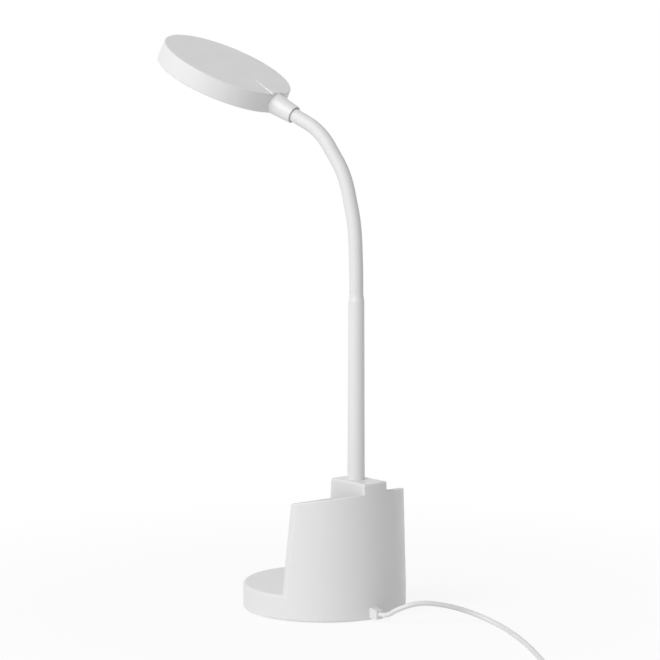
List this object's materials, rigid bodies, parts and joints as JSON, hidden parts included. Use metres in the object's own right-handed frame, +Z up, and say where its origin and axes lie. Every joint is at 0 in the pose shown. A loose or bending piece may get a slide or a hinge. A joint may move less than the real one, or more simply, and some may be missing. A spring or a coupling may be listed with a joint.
{
  "type": "desk lamp with drawer base",
  "caption": "Desk lamp with a flat round head on a gooseneck and pole, rising from a round base that carries a half-moon organiser with open compartments and a drawer.",
  "frame": {"origin": "middle of the base disc on the desk, at the level the rubber feet rest on", "axes": "+Z up; the user sits at -Y, so the drawer opens towards -Y and the cable leaves towards +Y; +X to the user's right"},
  "size_m": [0.2114, 0.4736, 0.4546],
  "materials": {
    "white_plastic": "satin",
    "grey_plastic": "matt",
    "rubber": "matt",
    "steel": "satin",
    "cast_iron": "matt",
    "circuit_board": "satin",
    "chip_plastic": "matt",
    "connector_plastic": "satin",
    "key_plastic": "satin",
    "spring_metal": "satin",
    "tray_plastic": "matt",
    "white_metal": "satin",
    "white_sleeve": "matt",
    "white_board": "satin",
    "led_yellow": "satin",
    "reflector_white": "matt",
    "frosted_plastic": "frosted",
    "lead_white": "matt",
    "cable_white": "satin",
    "plug_white": "satin",
    "tongue_plastic": "satin"
  },
  "bodies": {
    "base": {"base_shell": "white_plastic", "organiser_shell": "white_plastic", "bottom_plate": "grey_plastic", "rubber_feet": "rubber", "base_screws": "steel", "counterweight": "cast_iron", "dimmer_board": "circuit_board", "board_screws": "steel", "board_chips": "chip_plastic", "board_connector": "connector_plastic", "touch_key": "key_plastic", "touch_contact": "spring_metal", "strain_relief": "white_plastic", "pole": "white_metal", "pole_washer": "steel", "pole_nut": "steel", "neck_foot": "white_sleeve", "lamp_lead": "lead_white", "supply_lead": "cable_white", "usb_cable": "cable_white", "usb_cable_coil": "cable_white", "usb_cable_tail": "cable_white", "usb_plug_body": "plug_white", "usb_plug_shell": "steel", "usb_plug_tongue": "tongue_plastic"},
    "drawer": {"drawer_front": "white_plastic", "drawer_tray": "tray_plastic"},
    "neck_01": {"neck_segment_01": "white_sleeve"},
    "neck_02": {"neck_segment_02": "white_sleeve"},
    "neck_03": {"neck_segment_03": "white_sleeve"},
    "neck_04": {"neck_segment_04": "white_sleeve"},
    "neck_05": {"neck_segment_05": "white_sleeve"},
    "neck_06": {"neck_segment_06": "white_sleeve"},
    "neck_07": {"neck_segment_07": "white_sleeve"},
    "neck_08": {"neck_segment_08": "white_sleeve"},
    "neck_09": {"neck_segment_09": "white_sleeve"},
    "neck_10": {"neck_segment_10": "white_sleeve"},
    "neck_11": {"neck_segment_11": "white_sleeve"},
    "head": {"neck_end": "white_sleeve", "head_shell": "white_plastic", "led_board": "white_board", "led_chips": "led_yellow", "reflector": "reflector_white", "head_screws": "steel", "led_connector": "connector_plastic", "diffuser": "frosted_plastic", "bezel_ring": "white_plastic"}
  },
  "joints": [
    {"name": "drawer_slide", "type": "slide", "parent": "base", "child": "drawer", "axis": [0, -1, 0], "range_m": [0, 0.028]},
    {"name": "gooseneck_bend", "type": "hinge", "parent": "base", "child": "neck_01", "pos_m": [0, 0.0384, 0.25782], "axis": [0.9511, 0.309, 0], "range_deg": [-8, 8], "deforming": ["lamp_lead"]},
    {"name": "gooseneck_bend_02", "type": "hinge", "parent": "neck_01", "child": "neck_02", "pos_m": [0.00002, 0.03834, 0.27145], "axis": [0.9511, 0.309, 0], "range_deg": [-8, 8]},
    {"name": "gooseneck_sway", "type": "hinge", "parent": "neck_02", "child": "neck_03", "pos_m": [0.00018, 0.03784, 0.28507], "axis": [-0.3088, 0.9504, 0.038], "range_deg": [-12, 12]},
    {"name": "gooseneck_bend_04", "type": "hinge", "parent": "neck_03", "child": "neck_04", "pos_m": [0.00034, 0.03735, 0.2987], "axis": [0.9511, 0.309, 0], "range_deg": [-8, 8]},
    {"name": "gooseneck_bend_05", "type": "hinge", "parent": "neck_04", "child": "neck_05", "pos_m": [0.0008, 0.03594, 0.31225], "axis": [0.9511, 0.309, 0], "range_deg": [-8, 8]},
    {"name": "gooseneck_sway_06", "type": "hinge", "parent": "neck_05", "child": "neck_06", "pos_m": [0.00173, 0.03308, 0.32555], "axis": [-0.3014, 0.9276, 0.2206], "range_deg": [-12, 12]},
    {"name": "gooseneck_bend_07", "type": "hinge", "parent": "neck_06", "child": "neck_07", "pos_m": [0.00266, 0.03022, 0.33884], "axis": [0.9511, 0.309, 0], "range_deg": [-8, 8]},
    {"name": "gooseneck_bend_08", "type": "hinge", "parent": "neck_07", "child": "neck_08", "pos_m": [0.00423, 0.02539, 0.3515], "axis": [0.9511, 0.309, 0], "range_deg": [-8, 8]},
    {"name": "gooseneck_sway_09", "type": "hinge", "parent": "neck_08", "child": "neck_09", "pos_m": [0.00657, 0.01818, 0.36283], "axis": [-0.2568, 0.7904, 0.5562], "range_deg": [-12, 12]},
    {"name": "gooseneck_bend_10", "type": "hinge", "parent": "neck_09", "child": "neck_10", "pos_m": [0.00891, 0.01096, 0.37416], "axis": [0.9511, 0.309, 0], "range_deg": [-8, 8]},
    {"name": "gooseneck_bend_11", "type": "hinge", "parent": "neck_10", "child": "neck_11", "pos_m": [0.01208, 0.00123, 0.38316], "axis": [0.9511, 0.309, 0], "range_deg": [-8, 8]},
    {"name": "gooseneck_sway_12", "type": "hinge", "parent": "neck_11", "child": "head", "pos_m": [0.01586, -0.01041, 0.38916], "axis": [-0.1359, 0.4184, 0.898], "range_deg": [-12, 12]}
  ],
  "couplings": [
    {"joint": "gooseneck_bend_02", "follows": "gooseneck_bend", "ratio": 1},
    {"joint": "gooseneck_bend_04", "follows": "gooseneck_bend", "ratio": 1},
    {"joint": "gooseneck_bend_05", "follows": "gooseneck_bend", "ratio": 1},
    {"joint": "gooseneck_sway_06", "follows": "gooseneck_sway", "ratio": 1},
    {"joint": "gooseneck_bend_07", "follows": "gooseneck_bend", "ratio": 1},
    {"joint": "gooseneck_bend_08", "follows": "gooseneck_bend", "ratio": 1},
    {"joint": "gooseneck_sway_09", "follows": "gooseneck_sway", "ratio": 1},
    {"joint": "gooseneck_bend_10", "follows": "gooseneck_bend", "ratio": 1},
    {"joint": "gooseneck_bend_11", "follows": "gooseneck_bend", "ratio": 1},
    {"joint": "gooseneck_sway_12", "follows": "gooseneck_sway", "ratio": 1}
  ]
}
